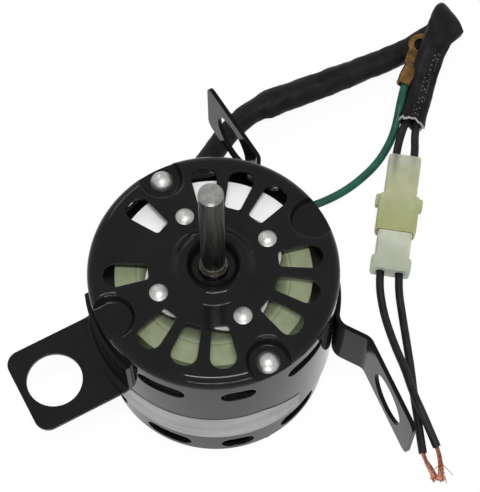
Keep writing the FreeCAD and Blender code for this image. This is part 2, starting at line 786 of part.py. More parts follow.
def label():
    """Bare foil label on the front shell's wall."""
    inner = shell_radius + label_gap
    middle = (label_start + label_end) / 2
    foil = sector(inner, inner + label_thickness, label_bottom_z, label_top_z, middle, label_end - middle)
    corner = rounded_face([
        (-label_cut_length, label_top_z, 0), (label_cut_length, label_top_z - 2 * label_cut_height, 0),
        (label_cut_length, label_top_z, 0)], lambda side, z: V(0, side, z))
    return foil.cut(at_azimuth(corner.extrude(V(2 * inner, 0, 0)), label_end))


def bushing_offset(side):
    """Point on the rear shell's wall line, to one side of the bushing's middle."""
    return polar(side, bushing_azimuth + 90, bushing_z)


def lead_bushing():
    """Rubber bushing in the rear shell's wall, with one hole for the sleeve and one for the ground lead."""
    half_width = bushing_width / 2
    half_height = bushing_height / 2
    z0 = bushing_z - half_height
    z1 = bushing_z + half_height
    root = block(bushing_root, bushing_reach, -half_width, half_width, z0, z1)
    flange = block(bushing_root, bushing_reach, -half_width - bushing_flange, half_width + bushing_flange,
                   z0 - bushing_flange, z1 + bushing_flange)
    flange = flange.cut(Part.makeCylinder(rear_shell_radius + hole_gap, face_z))
    body = at_azimuth(root.fuse(flange).removeSplitter(), bushing_azimuth)
    for side, radius in ((sleeve_side, sleeve_radius), (ground_side, lead_radius)):
        start = polar(bushing_root - 1, bushing_azimuth) + bushing_offset(side)
        hole = Part.makeCylinder(radius + hole_gap, 2 * cut_reach, start, polar(1, bushing_azimuth))
        body = body.cut(hole)
    return body


def cord(name, points, diameter):
    """Tube along straight runs joined by tangent arcs, each as large as its two runs allow."""
    radii = [0]
    for before, corner, after in zip(points, points[1:], points[2:]):
        arrive = corner - before
        leave = after - corner
        radii.append(bend_share * min(arrive.Length, leave.Length) / math.tan(arrive.getAngle(leave) / 2))
    path = Part.Wire(rounded_path(points, radii + [0]))
    circle = Part.makeCircle(diameter / 2, points[0], points[1] - points[0])
    solid = path.makePipeShell([Part.Wire(circle)], True, False)
    expected = math.pi * diameter ** 2 / 4 * path.Length
    print(name, "length", round(path.Length, 1), "smallest radius", round(min(radii[1:]), 1),
          "volume ratio", round(solid.Volume / expected, 4), "valid", solid.isValid())
    return solid


def vectors(points):
    """Route points as vectors."""
    return [V(*point) for point in points]


def in_connector(shape):
    """Copy of a shape drawn from the connector's lead end along +X, set in its place."""
    return at_azimuth(shape, connector_heading).translated(connector_start)


def connector_point(along, across):
    """Place of a contact line in the connector."""
    start = connector_start + V(0, 0, connector_axis_z)
    return start + polar(along, connector_heading) + polar(across, connector_heading + 90)


def contact_rods(radius, start, end):
    """The two round bars of the contact lines between two places along the connector."""
    starts = [V(start, side * contact_pitch / 2, connector_axis_z) for side in (-1, 1)]
    return [Part.makeCylinder(radius, end - start, place, V(1, 0, 0)) for place in starts]


def rounded_bar(start, end, half_width, z0, z1, corner, end_round):
    """Bar along the connector with rounded long edges and rounded corners in plan."""
    section = [
        (-half_width, z0, corner), (half_width, z0, corner),
        (half_width, z1, corner), (-half_width, z1, corner)]
    bar = rounded_face(section, lambda side, z: V(start, side, z)).extrude(V(end - start, 0, 0))
    plan = [(start, -half_width, end_round), (end, -half_width, end_round), (end, half_width, end_round),
            (start, half_width, end_round)]
    return bar.common(rounded_face(plan, flat_point).extrude(UP * z1))


def receptacle_housing():
    """Nylon receptacle: a narrow lead end, a wide mouth with two latch lugs and a cavity for the plug."""
    half = receptacle_width / 2
    mouth = receptacle_mouth_width / 2
    z0, z1 = 0, connector_height
    corner = connector_edge_round
    body = rounded_bar(0, receptacle_shoulder + 2 * corner, half, z0, z1, corner, corner)
    wide = rounded_bar(receptacle_shoulder, receptacle_length, mouth, z0, z1, corner, corner)
    lug_z = connector_axis_z - ear_lug_thickness / 2
    lugs = rounded_bar(receptacle_shoulder, receptacle_shoulder + ear_lug_length, ear_lug_width / 2,
                       lug_z, lug_z + ear_lug_thickness, ear_lug_round, ear_lug_round)
    wall = receptacle_wall
    inside = mouth - wall
    cavity = block(receptacle_floor, receptacle_length + 1, -inside, inside, z0 + wall, z1 - wall)
    lead_bores = contact_rods(contact_bore_radius, -1, receptacle_floor / 2)
    pin_bores = contact_rods(pin_radius + hole_gap, 0, receptacle_floor + 1)
    housing = body.fuse([wide, lugs]).cut([cavity] + lead_bores + pin_bores).removeSplitter()
    return in_connector(housing)


def pin_contacts():
    """Two brass pins that stand in the receptacle's cavity."""
    pins = []
    for crimp, pin in zip(contact_rods(contact_radius, lead_depth, receptacle_floor / 2),
                          contact_rods(pin_radius, lead_depth, pin_tip)):
        pins.append(crimp.fuse(pin).removeSplitter())
    return in_connector(Part.makeCompound(pins))


def plug_housing():
    """Nylon plug: a nose that fills the receptacle's cavity, a body and a flange at its lead end."""
    gap = plug_gap
    wall = receptacle_wall + gap
    half_nose = receptacle_mouth_width / 2 - wall
    nose_top = connector_height - wall
    nose = block(receptacle_floor + gap, plug_flange_start, -half_nose, half_nose, wall, nose_top)
    half = plug_width / 2
    corner = connector_edge_round
    body = rounded_bar(receptacle_length + gap, plug_end, half, 0, connector_height, corner, corner / 2)
    half = plug_flange_width / 2
    flange = rounded_bar(plug_flange_start, plug_end, half, 0, connector_height, corner, corner)
    bores = contact_rods(contact_bore_radius, receptacle_floor, plug_end + 1)
    return in_connector(nose.fuse([body, flange]).cut(bores).removeSplitter())


def socket_contacts():
    """Two brass sockets in the plug, which the pins slide in."""
    start = receptacle_floor + 2 * plug_gap
    sockets = []
    for outer, bore, crimp in zip(contact_rods(socket_outer_radius, start, socket_crimp_start),
                                  contact_rods(socket_bore_radius, start - 1, socket_crimp_start),
                                  contact_rods(contact_radius, socket_crimp_start, plug_end - lead_depth)):
        sockets.append(outer.cut(bore).fuse(crimp).removeSplitter())
    return in_connector(Part.makeCompound(sockets))


def ring_terminal():
    """Ring terminal on the ground lead: a flat ring, a tongue and a crimped barrel."""
    z0 = terminal_z
    middle_z = z0 + terminal_sheet / 2
    half = terminal_tongue_width / 2
    ring = Part.makeCylinder(terminal_ring_radius, terminal_sheet, V(0, 0, z0))
    tongue = block(0, terminal_barrel_start + 1, -half, half, z0, z0 + terminal_sheet)
    hole = Part.makeCylinder(terminal_hole_radius, 2 * cut_reach, V(0, 0, z0 - cut_reach))
    barrel = Part.makeCylinder(terminal_barrel_radius, terminal_length - terminal_barrel_start,
                               V(terminal_barrel_start, 0, middle_z), V(1, 0, 0))
    terminal = ring.fuse([tongue, barrel]).cut(hole).removeSplitter()
    return at_azimuth(terminal, terminal_heading).translated(terminal_centre)


def bare_end(lead, start, end):
    """Bare twisted strands past the end of a lead's insulation."""
    along = V(*end) - V(*start)
    return Part.makeCylinder(bare_radius, along.Length, V(*start), along).cut(lead)


def upper_end(across):
    """Last points of an upper lead: a straight run into the receptacle."""
    return [connector_point(along, across) for along in (-lead_straight, lead_depth)]


def lower_start(across):
    """First points of a lower lead: a straight run out of the plug."""
    return [connector_point(plug_end + along, across) for along in (-lead_depth, lead_straight)]


def lead_parts():
    """All the leads outside the shell, by node name."""
    radial = polar(1, bushing_azimuth)
    sleeve_start = radial * bushing_root + bushing_offset(sleeve_side)
    ground_start = radial * bushing_root + bushing_offset(ground_side)
    crimp_z = terminal_z + terminal_sheet / 2
    ground_end = terminal_centre + polar(terminal_length - crimp_depth, terminal_heading, crimp_z)
    left = -contact_pitch / 2
    right = contact_pitch / 2
    points = {
        "harness_sleeve": [sleeve_start] + vectors(sleeve_route),
        "ground_lead": [ground_start] + vectors(ground_route) + [ground_end],
        "upper_lead_left": vectors(upper_left_route) + upper_end(left),
        "upper_lead_right": vectors(upper_right_route) + upper_end(right),
        "lower_lead_left": lower_start(left) + vectors(lower_left_route),
        "lower_lead_right": lower_start(right) + vectors(lower_right_route)}
    parts = {}
    for name, route in points.items():
        diameter = sleeve_diameter if name == "harness_sleeve" else lead_diameter
        parts[name] = cord(name, route, diameter)
    for name in ("upper_lead_left", "upper_lead_right"):
        parts[name] = parts[name].cut(parts["harness_sleeve"])
    parts["ring_terminal"] = ring_terminal().cut(parts["ground_lead"])
    parts["bare_ends"] = Part.makeCompound([
        bare_end(parts["lower_lead_left"], lower_left_route[-1], bare_left_end),
        bare_end(parts["lower_lead_right"], lower_right_route[-1], bare_right_end)])
    return parts


def all_parts():
    """Every piece of the motor, by node name."""
    up_face = V(0, 0, face_z)
    nose_length = bearing_depth + bearing_nose_height
    right_ear = side_ear(side_ear_bend_azimuth, side_ear_plate_heading)
    far_ear = side_ear(
        side_ear_bend_azimuth + top_ear_bend_shift, side_ear_plate_heading + top_ear_plate_shift)
    mirror_normal = V(math.sin(math.radians(pad_azimuth)), -math.cos(math.radians(pad_azimuth)), 0)
    parts = {
        "front_shell": front_shell(),
        "rear_shell": rear_shell(),
        "stator_core": stator_core(),
        "shading_coils": shading_coils(),
        "lead_cover": lead_cover(),
        "front_bearing": bearing(nose_length).translated(V(0, 0, front_bearing_z)),
        "rear_bearing": bearing(0).mirror(ORIGIN, UP).translated(V(0, 0, rear_bearing_z)),
        "front_bearing_cup": bearing_cup().translated(up_face),
        "rear_bearing_cup": mirrored_to_rear(bearing_cup()),
        "front_felt": felt().translated(up_face),
        "rear_felt": mirrored_to_rear(felt()),
        "front_cup_rivets": cup_rivets().translated(up_face),
        "rear_cup_rivets": mirrored_to_rear(cup_rivets()),
        "tie_rivets": tie_rivets(),
        "left_ear": flat_ear(),
        "right_ear": right_ear,
        "top_ear": far_ear.mirror(ORIGIN, mirror_normal),
        "label": label(),
        "lead_bushing": lead_bushing(),
        "shaft": shaft(),
        "rotor_core": rotor_core(),
        "rotor_cage": rotor_cage(),
        "front_collar": shaft_ring(collar_radius, core_top_z, front_washer_bottom),
        "rear_collar": shaft_ring(collar_radius, rear_washer_top, core_z),
        "front_thrust_washer": shaft_ring(washer_radius, front_washer_bottom, front_washer_top),
        "rear_thrust_washer": shaft_ring(washer_radius, rear_washer_bottom, rear_washer_top),
        "receptacle_housing": receptacle_housing(),
        "pin_contacts": pin_contacts(),
        "plug_housing": plug_housing(),
        "socket_contacts": socket_contacts()}
    for number, azimuth in enumerate(pole_azimuths, 1):
        parts["bobbin_%d" % number] = at_azimuth(bobbin(), azimuth)
        parts["winding_%d" % number] = at_azimuth(winding(), azimuth)
    parts.update(lead_parts())
    return parts


os.makedirs("parts", exist_ok=True)
for name, shape in all_parts().items():
    if not shape.isValid():
        print("not valid:", name)
    shape.exportStep("parts/%s.step" % name)
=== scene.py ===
import math
import random

import bmesh
import bpy
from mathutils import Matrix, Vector, noise


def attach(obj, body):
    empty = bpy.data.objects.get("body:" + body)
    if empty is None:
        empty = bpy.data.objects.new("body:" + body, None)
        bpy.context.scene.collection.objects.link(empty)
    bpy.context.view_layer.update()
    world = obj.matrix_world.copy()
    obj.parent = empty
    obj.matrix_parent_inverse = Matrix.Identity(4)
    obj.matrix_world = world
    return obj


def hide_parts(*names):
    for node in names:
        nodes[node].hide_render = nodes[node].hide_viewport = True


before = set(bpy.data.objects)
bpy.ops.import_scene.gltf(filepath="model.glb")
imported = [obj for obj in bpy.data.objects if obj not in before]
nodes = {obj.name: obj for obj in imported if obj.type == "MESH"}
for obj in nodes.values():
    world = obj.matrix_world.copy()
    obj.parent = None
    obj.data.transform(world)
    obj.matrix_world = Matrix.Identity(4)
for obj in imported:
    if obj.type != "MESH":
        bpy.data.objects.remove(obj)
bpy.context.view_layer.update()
random.seed(7)

MM = 0.001
MIX_FIRST, MIX_SECOND, MIX_RESULT = 6, 7, 2   # colour sockets of a Mix node


def mm(x, y, z):
    """Place given in millimetres."""
    return Vector((x * MM, y * MM, z * MM))


def polar(radius, azimuth):
    """Place in the floor's plane, given in millimetres and degrees."""
    angle = math.radians(azimuth)
    return Vector((radius * math.cos(angle), radius * math.sin(angle), 0.0)) * MM


# Camera, at the place fitted to the photograph
eye = mm(8.754, -204.121, 534.047)
target = mm(8.754, 41.994, 0)
camera_data = bpy.data.cameras.new("camera")
camera_data.sensor_fit = "AUTO"
camera_data.sensor_width = 36
camera_data.lens = 111.44
camera_data.clip_start = 0.01
camera = bpy.data.objects.new("camera", camera_data)
bpy.context.scene.collection.objects.link(camera)
camera.location = eye
camera.rotation_euler = (target - eye).to_track_quat("-Z", "Y").to_euler()
bpy.context.scene.camera = camera


# Where the leads and the connector lie, in millimetres and degrees
BUSHING = 101.5                         # azimuth of the bushing that the leads leave the shell by
BUSHING_REACH, BUSHING_HEIGHT = 38, 11
CONNECTOR = Vector((73.7, 78.0, 3.5))   # middle of the receptacle's lead end
HEADING = 260.6                         # azimuth from the receptacle to the plug
PLUG_END = 49.6                         # from the receptacle's lead end to the plug's
CONTACT_SIDE = 3.6                      # from the connector's axis to each contact
LEAD_RADIUS, LOWER_LEAD_RADIUS = 1.6, 1.55


# Materials
def new_material(name, colour, roughness, metallic=0.0):
    """A material with its shader, ready for the details that the callers link in."""
    material = bpy.data.materials.new(name)
    material.use_nodes = True
    shader = material.node_tree.nodes["Principled BSDF"]
    shader.inputs["Base Color"].default_value = (*colour, 1)
    shader.inputs["Roughness"].default_value = roughness
    shader.inputs["Metallic"].default_value = metallic
    return material, shader


def add(material, kind, **values):
    """A node with the given attributes and inputs."""
    node = material.node_tree.nodes.new(kind)
    for key, value in values.items():
        if hasattr(node, key):
            setattr(node, key, value)
        else:
            node.inputs[key.replace("_", " ")].default_value = value
    return node


def link(material, source, target_socket):
    material.node_tree.links.new(source, target_socket)


def object_coordinates(material):
    return add(material, "ShaderNodeTexCoord").outputs["Object"]


def noise_at(material, scale, detail=3.0, stretch=(1, 1, 1), rough=0.5):
    """Noise in the object's own coordinates; scale is in waves a metre."""
    mapping = add(material, "ShaderNodeMapping")
    mapping.inputs["Scale"].default_value = stretch
    texture = add(material, "ShaderNodeTexNoise", Scale=scale, Detail=detail, Roughness=rough)
    link(material, object_coordinates(material), mapping.inputs["Vector"])
    link(material, mapping.outputs["Vector"], texture.inputs["Vector"])
    return texture.outputs["Fac"]


def ramp(material, value, stops):
    """Colour ramp; stops are (position, grey or colour)."""
    node = add(material, "ShaderNodeValToRGB")
    elements = node.color_ramp.elements
    while len(elements) < len(stops):
        elements.new(0.5)
    for element, (position, colour) in zip(elements, stops):
        element.position = position
        colour = (colour, colour, colour) if isinstance(colour, (int, float)) else colour
        element.color = (*colour, 1)
    link(material, value, node.inputs["Fac"])
    return node.outputs["Color"]


def set_bump(material, shader, height, strength, distance):
    """Relief from a height socket; returns its node."""
    node = add(material, "ShaderNodeBump", Strength=strength, Distance=distance)
    link(material, height, node.inputs["Height"])
    link(material, node.outputs["Normal"], shader.inputs["Normal"])
    return node


def multiplied(material, first, second):
    """Product of two colour sockets."""
    node = add(material, "ShaderNodeMix", data_type="RGBA", blend_type="MULTIPLY")
    node.inputs["Factor"].default_value = 1.0
    link(material, first, node.inputs[MIX_FIRST])
    link(material, second, node.inputs[MIX_SECOND])
    return node.outputs[MIX_RESULT]


def mixed(material, factor, first, second):
    """Colour between two colours or sockets by factor."""
    node = add(material, "ShaderNodeMix", data_type="RGBA")
    link(material, factor, node.inputs["Factor"])
    for number, value in ((MIX_FIRST, first), (MIX_SECOND, second)):
        if isinstance(value, tuple):
            node.inputs[number].default_value = (*value, 1)
        else:
            link(material, value, node.inputs[number])
    return node.outputs[MIX_RESULT]


def share_between(material, value, low, high, top=1.0):
    """How far a value has gone from low to high, from 0 to top."""
    node = add(material, "ShaderNodeMapRange")
    for socket, number in zip(node.inputs[1:5], (low, high, 0.0, top)):
        socket.default_value = number
    link(material, value, node.inputs["Value"])
    return node.outputs["Result"]


def component(material, vector, axis):
    """X, Y or Z of a vector socket."""
    split = add(material, "ShaderNodeSeparateXYZ")
    link(material, vector, split.inputs[0])
    return split.outputs[axis]


def gloss_black(name, gloss):
    """Black enamel over drawn sheet: a faint orange peel, uneven gloss, dust and small pale nicks."""
    material, shader = new_material(name, (0.006, 0.006, 0.0065), 0.2)
    shader.inputs["IOR"].default_value = gloss
    cloud = noise_at(material, 90, 4)
    specks = ramp(material, noise_at(material, 2600, 2, rough=0.6), [(0.74, 0.0), (0.78, 1.0)])
    base = ramp(material, cloud, [(0.3, (0.0048, 0.0048, 0.0052)), (0.75, (0.0075, 0.0075, 0.008))])
    link(material, mixed(material, specks, base, (0.03, 0.03, 0.03)), shader.inputs["Base Color"])
    link(material, ramp(material, cloud, [(0.25, 0.04), (0.8, 0.09)]), shader.inputs["Roughness"])
    peel = set_bump(material, shader, noise_at(material, 420, 3), 0.06, 0.0003)
    edges = add(material, "ShaderNodeBevel", samples=4, Radius=0.00045)
    link(material, edges.outputs["Normal"], peel.inputs["Normal"])
    return material


def bare_metal(name, dark, light, roughness, scale, bump=0.12):
    """Bare metal, mottled, with blotches that are duller and brighter."""
    material, shader = new_material(name, light, roughness, 1.0)
    marks = noise_at(material, scale, 5)
    link(material, ramp(material, marks, [(0.3, dark), (0.7, light)]), shader.inputs["Base Color"])
    blotches = noise_at(material, 260, 4)
    link(material, ramp(material, blotches, [(0.3, roughness * 0.8), (0.75, roughness * 1.35)]),
         shader.inputs["Roughness"])
    set_bump(material, shader, marks, bump, 0.0001)
    return material


def drawn_shaft():
    """Cold drawn bar: fine streaks along it, brighter marks, and a light sawn end."""
    material, shader = new_material("shaft_steel", (0.3, 0.3, 0.3), 0.3, 1.0)
    streaks = noise_at(material, 1500, 5, (1, 1, 0.035))
    body = ramp(material, streaks, [(0.32, (0.07, 0.068, 0.065)), (0.68, (0.24, 0.235, 0.23))])
    normal = add(material, "ShaderNodeNewGeometry").outputs["Normal"]
    upward = ramp(material, component(material, normal, "Z"), [(0.5, 0.0), (0.8, 1.0)])
    end = ramp(material, noise_at(material, 500, 4),
               [(0.3, (0.19, 0.196, 0.186)), (0.7, (0.29, 0.297, 0.284))])
    link(material, mixed(material, upward, body, end), shader.inputs["Base Color"])
    wear = noise_at(material, 300, 3, (1, 1, 0.1))
    link(material, ramp(material, wear, [(0.3, 0.26), (0.75, 0.4)]), shader.inputs["Roughness"])
    set_bump(material, shader, streaks, 0.06, 0.0001)
    return material


def moulded(name, colour, shade, roughness, depth):
    """Moulded nylon: cloudy, a little see-through, with a soft skin."""
    material, shader = new_material(name, colour, roughness)
    shader.inputs["Subsurface Weight"].default_value = 0.25
    shader.inputs["Subsurface Radius"].default_value = (1.0, 0.9, 0.6)
    shader.inputs["Subsurface Scale"].default_value = depth
    cloud = noise_at(material, 130, 4)
    link(material, ramp(material, cloud, [(0.3, shade), (0.72, colour)]), shader.inputs["Base Color"])
    link(material, ramp(material, cloud, [(0.3, roughness * 1.2), (0.75, roughness * 0.85)]),
         shader.inputs["Roughness"])
    set_bump(material, shader, noise_at(material, 1200, 3), 0.06, 0.0002)
    return material


def coil_former():
    """Pale green moulded coil former, with painted shade that darkens it towards the shaft and a thin
    painted dark ring that stands in for a ridge's shade.
    """
    material, shader = new_material("green_nylon", (0.46, 0.5, 0.33), 0.4)
    shader.inputs["Subsurface Weight"].default_value = 0.2
    shader.inputs["Subsurface Scale"].default_value = 0.0008
    flat = add(material, "ShaderNodeVectorMath", operation="MULTIPLY")
    flat.inputs[1].default_value = (1, 1, 0)
    link(material, object_coordinates(material), flat.inputs[0])
    reach = add(material, "ShaderNodeVectorMath", operation="LENGTH")
    link(material, flat.outputs["Vector"], reach.inputs[0])
    outward = share_between(material, reach.outputs["Value"], 20.5 * MM, 34 * MM)
    # Painted shade by distance from the shaft: dark near it, lighter outward, with a thin dark ring for a
    # ridge's shade, and a little darker again at the outer end.
    shade = ramp(material, outward, [
        (0.0, (0.08, 0.09, 0.06)), (0.22, (0.2, 0.23, 0.14)), (0.36, (0.4, 0.44, 0.29)),
        (0.395, (0.23, 0.26, 0.15)), (0.43, (0.38, 0.42, 0.27)), (1.0, (0.33, 0.38, 0.23))])
    cloud = ramp(material, noise_at(material, 240, 4),
                 [(0.3, (0.66, 0.68, 0.6)), (0.72, (0.84, 0.85, 0.82))])
    link(material, multiplied(material, shade, cloud), shader.inputs["Base Color"])
    set_bump(material, shader, noise_at(material, 900, 3), 0.1, 0.0002)
    return material


def along_connector(material, azimuth, low, high):
    """Share of the way from low to high, in millimetres from the connector's start along an azimuth."""
    direction = polar(1, azimuth) / MM
    offset = (CONNECTOR * MM).dot(direction)
    dot = add(material, "ShaderNodeVectorMath", operation="DOT_PRODUCT")
    dot.inputs[1].default_value = direction
    link(material, object_coordinates(material), dot.inputs[0])
    return share_between(material, dot.outputs["Value"], offset + low * MM, offset + high * MM)


def connector_nylon(name, stops, shadows):
    """Natural nylon, cloudy, whose colour changes along the housing, with painted shade over the leads
    inside it.
    """
    material, shader = new_material(name, (0.4, 0.4, 0.3), 0.34)
    shader.inputs["Subsurface Weight"].default_value = 0.3
    shader.inputs["Subsurface Scale"].default_value = 0.0012
    onward = along_connector(material, HEADING, 0, PLUG_END)
    cloud = ramp(material, noise_at(material, 170, 4),
                 [(0.3, (0.72, 0.73, 0.67)), (0.72, (0.88, 0.89, 0.86))])
    colour = multiplied(material, ramp(material, onward, stops), cloud)
    # Painted shade: a soft dark band over each lead inside, fading out along the housing.
    fade = ramp(material, onward, [(0.02, 1.0), (0.3, 0.0)])
    half_width = 3.0
    for side, depth in shadows:
        across = along_connector(material, HEADING + 90, side - half_width, side + half_width)
        band = ramp(material, across, [(0.15, 0.0), (0.5, depth), (0.85, 0.0)])
        colour = mixed(material, multiplied(material, band, fade), colour, (0.07, 0.075, 0.07))
    link(material, colour, shader.inputs["Base Color"])
    set_bump(material, shader, noise_at(material, 700, 3), 0.1, 0.0002)
    return material


def banded_metal(name, colour, roughness, metallic, wave, stops, bump):
    """Metal with fine bands across the shaft: turns of wire, or stacked sheets."""
    material, shader = new_material(name, colour, roughness, metallic)
    scale, distortion, detail = wave
    bands = add(material, "ShaderNodeTexWave", bands_direction="Z", Scale=scale, Distortion=distortion,
                Detail=detail)
    link(material, object_coordinates(material), bands.inputs["Vector"])
    link(material, ramp(material, bands.outputs["Fac"], stops), shader.inputs["Base Color"])
    set_bump(material, shader, bands.outputs["Fac"], *bump)
    return material


def soft_skin(name, base, roughness, weave, bump, shine=0.3):
    """Tape, sleeving, rubber or insulation, with a fine weave or grain and some dust."""
    material, shader = new_material(name, base, roughness)
    shader.inputs["Specular IOR Level"].default_value = shine
    cloud = noise_at(material, 180, 4)
    pale = tuple(min(1.0, value * 2.1 + 0.006) for value in base)
    link(material, ramp(material, cloud, [(0.35, base), (0.8, pale)]), shader.inputs["Base Color"])
    link(material, ramp(material, cloud, [(0.3, roughness), (0.8, min(1.0, roughness * 1.35))]),
         shader.inputs["Roughness"])
    set_bump(material, shader, noise_at(material, weave, 3), bump, 0.0003)
    return material


def bare_label():
    """Printed film with nothing on it: light grey, faint scuffs round the wall and a worn, dull far end."""
    material, shader = new_material("bare_label", (0.36, 0.36, 0.36), 0.4)
    streaks = noise_at(material, 160, 4, (0.25, 0.25, 1.6))
    film = ramp(material, streaks, [(0.3, (0.13, 0.13, 0.13)), (0.7, (0.26, 0.26, 0.252))])
    sideways = component(material, object_coordinates(material), "X")
    wear = add(material, "ShaderNodeMath", operation="ADD")
    link(material, noise_at(material, 520, 6, (1, 1, 2.2), 0.7), wear.inputs[0])
    link(material, share_between(material, sideways, 0.0, 36 * MM, 0.34), wear.inputs[1])
    rubbed = ramp(material, wear.outputs[0], [(0.66, 0.0), (0.86, 0.6)])
    link(material, mixed(material, rubbed, film, (0.05, 0.05, 0.052)), shader.inputs["Base Color"])
    set_bump(material, shader, noise_at(material, 500, 3), 0.08, 0.0003)
    return material


def felt_grey():
    """Oiled felt with short fibres."""
    material, shader = new_material("felt_grey", (0.5, 0.46, 0.4), 0.95)
    fibres = noise_at(material, 1800, 6)
    link(material, ramp(material, fibres, [(0.3, (0.36, 0.33, 0.28)), (0.7, (0.62, 0.58, 0.5))]),
         shader.inputs["Base Color"])
    set_bump(material, shader, fibres, 0.7, 0.0005)
    return material


black = gloss_black("gloss_black", 1.21)
ear_black = gloss_black("ear_black", 1.13)
shaft_steel = drawn_shaft()
zinc = bare_metal("zinc", (0.32, 0.32, 0.31), (0.46, 0.46, 0.445), 0.44, 1400, 0.02)
green = coil_former()
white = moulded("white_nylon", (0.96, 0.96, 0.95), (0.92, 0.92, 0.9), 0.4, 0.0008)
pale = connector_nylon("plug_nylon", [
    (0.6, (0.5, 0.52, 0.4)), (0.75, (0.52, 0.55, 0.47)), (0.9, (0.44, 0.47, 0.37)),
    (1.0, (0.4, 0.44, 0.36))], [])
# The receptacle's last list is painted shade over its two leads, darker on one side.
yellow = connector_nylon("receptacle_nylon", [
    (0.0, (0.46, 0.48, 0.4)), (0.12, (0.43, 0.44, 0.3)), (0.34, (0.45, 0.46, 0.28)),
    (0.42, (0.38, 0.4, 0.22)), (0.62, (0.36, 0.38, 0.17))],
    [(-CONTACT_SIDE, 0.75), (CONTACT_SIDE, 0.3)])
copper = banded_metal("wound_copper", (0.45, 0.16, 0.07), 0.35, 1.0, (380.0, 0.4, 1.0),
                      [(0.1, (0.16, 0.05, 0.025)), (0.6, (0.5, 0.19, 0.08))], (0.6, 0.0003))
laminations = banded_metal("stacked_steel", (0.2, 0.2, 0.21), 0.45, 0.9, (320.0, 0.6, 2.0),
                           [(0.15, (0.05, 0.045, 0.045)), (0.6, (0.24, 0.24, 0.25))], (0.5, 0.0002))
strand_copper = bare_metal("strand_copper", (0.2, 0.075, 0.05), (0.46, 0.21, 0.14), 0.38, 900)
brass = bare_metal("terminal_brass", (0.045, 0.032, 0.014), (0.2, 0.105, 0.035), 0.36, 260)
bronze = bare_metal("bearing_bronze", (0.035, 0.028, 0.022), (0.09, 0.075, 0.06), 0.3, 900)
aluminium = bare_metal("cage_aluminium", (0.5, 0.5, 0.5), (0.66, 0.66, 0.67), 0.4, 600)
rubber = soft_skin("bushing_rubber", (0.012, 0.012, 0.012), 0.6, 1500, 0.2)
tape = soft_skin("sleeve_tape", (0.0035, 0.0035, 0.004), 0.42, 900, 0.3, 0.09)
insulation = soft_skin("black_insulation", (0.0035, 0.0035, 0.005), 0.42, 1400, 0.1, 0.18)
cut_thread = soft_skin("cut_thread", (0.2, 0.2, 0.2), 0.8, 1400, 0.1)
stitching = soft_skin("sleeve_stitching", (0.065, 0.065, 0.065), 0.8, 1400, 0.1)
green_skin = soft_skin("green_insulation", (0.003, 0.048, 0.03), 0.38, 1400, 0.1, 0.22)
washer_brown = soft_skin("washer_brown", (0.16, 0.08, 0.03), 0.6, 1400, 0.2)
label_film = bare_label()
felt = felt_grey()

dressed = [
    (black, "front_shell rear_shell left_ear"), (ear_black, "right_ear top_ear"),
    (laminations, "stator_core rotor_core"), (aluminium, "rotor_cage"), (white, "lead_cover"),
    (strand_copper, "shading_coils bare_ends"), (bronze, "front_bearing rear_bearing"),
    (zinc, "front_bearing_cup rear_bearing_cup front_cup_rivets rear_cup_rivets tie_rivets"),
    (felt, "front_felt rear_felt"), (label_film, "label"), (rubber, "lead_bushing"),
    (shaft_steel, "shaft front_collar rear_collar"), (green_skin, "ground_lead"),
    (washer_brown, "front_thrust_washer rear_thrust_washer"), (tape, "harness_sleeve"),
    (yellow, "receptacle_housing"), (pale, "plug_housing"),
    (brass, "pin_contacts socket_contacts ring_terminal"),
    (insulation, "upper_lead_left upper_lead_right lower_lead_left lower_lead_right"),
    (green, "bobbin_1 bobbin_2 bobbin_3 bobbin_4"), (copper, "winding_1 winding_2 winding_3 winding_4")]
for material, names in dressed:
    for name in names.split():
        slots = nodes[name].data.materials
        slots.clear()
        slots.append(material)


# Cords, on the routes of their solids
def spline_object(name, points, radius):
    """Round lead as a smooth curve through its route's control points, in millimetres."""
    curve = bpy.data.curves.new(name, "CURVE")
    curve.dimensions = "3D"
    curve.resolution_u = 12
    curve.bevel_depth = radius * MM
    curve.bevel_resolution = 6
    curve.use_fill_caps = True
    spline = curve.splines.new("NURBS")
    spline.points.add(len(points) - 1)
    for point, place in zip(spline.points, points):
        point.co = (*[value * MM for value in place], 1)
    spline.order_u = 3
    spline.use_endpoint_u = True
    thing = bpy.data.objects.new(name, curve)
    bpy.context.scene.collection.objects.link(thing)
    return thing


def spline_line(name, points):
    """Points along the smooth curve of a route, as Blender works them out."""
    thing = spline_object(name, points, 0)
    mesh = bpy.data.meshes.new_from_object(thing)
    line = [vertex.co.copy() for vertex in mesh.vertices]
    bpy.data.objects.remove(thing)
    bpy.data.meshes.remove(mesh)
    return line


def evenly(line, step):
    """The same line with points a step apart."""
    out = [line[0].copy()]
    left = step
    for first, second in zip(line, line[1:]):
        length = (second - first).length
        while length > 0 and left <= length:
            out.append(first.lerp(second, left / length))
            left += step
        left -= length
    if (out[-1] - line[-1]).length > step * 0.3:
        out.append(line[-1].copy())
    return out


def mesh_object(name, verts, faces, material, body, smooth=True):
    """Object that rides on a body, from vertices and faces."""
    mesh = bpy.data.meshes.new(name)
    mesh.from_pydata([tuple(v) for v in verts], [], faces)
    mesh.update()
    for polygon in mesh.polygons:
        polygon.use_smooth = smooth
    mesh.materials.append(material)
    thing = bpy.data.objects.new(name, mesh)
    bpy.context.scene.collection.objects.link(thing)
    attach(thing, body)
    return thing


def tube_faces(rings):
    """Bands between rings of vertex numbers, with both ends closed."""
    faces = []
    for first, second in zip(rings, rings[1:]):
        count = len(first)
        for k in range(count):
            after = (k + 1) % count
            faces.append((first[k], first[after], second[after], second[k]))
    faces.append(tuple(reversed(rings[0])))
    faces.append(tuple(rings[-1]))
    return faces


def bushing_point(across):
    """Place in the bushing, at a distance across its middle."""
    middle = polar(BUSHING_REACH, BUSHING)
    return (middle + polar(across, BUSHING + 90)) / MM + Vector((0, 0, BUSHING_HEIGHT))


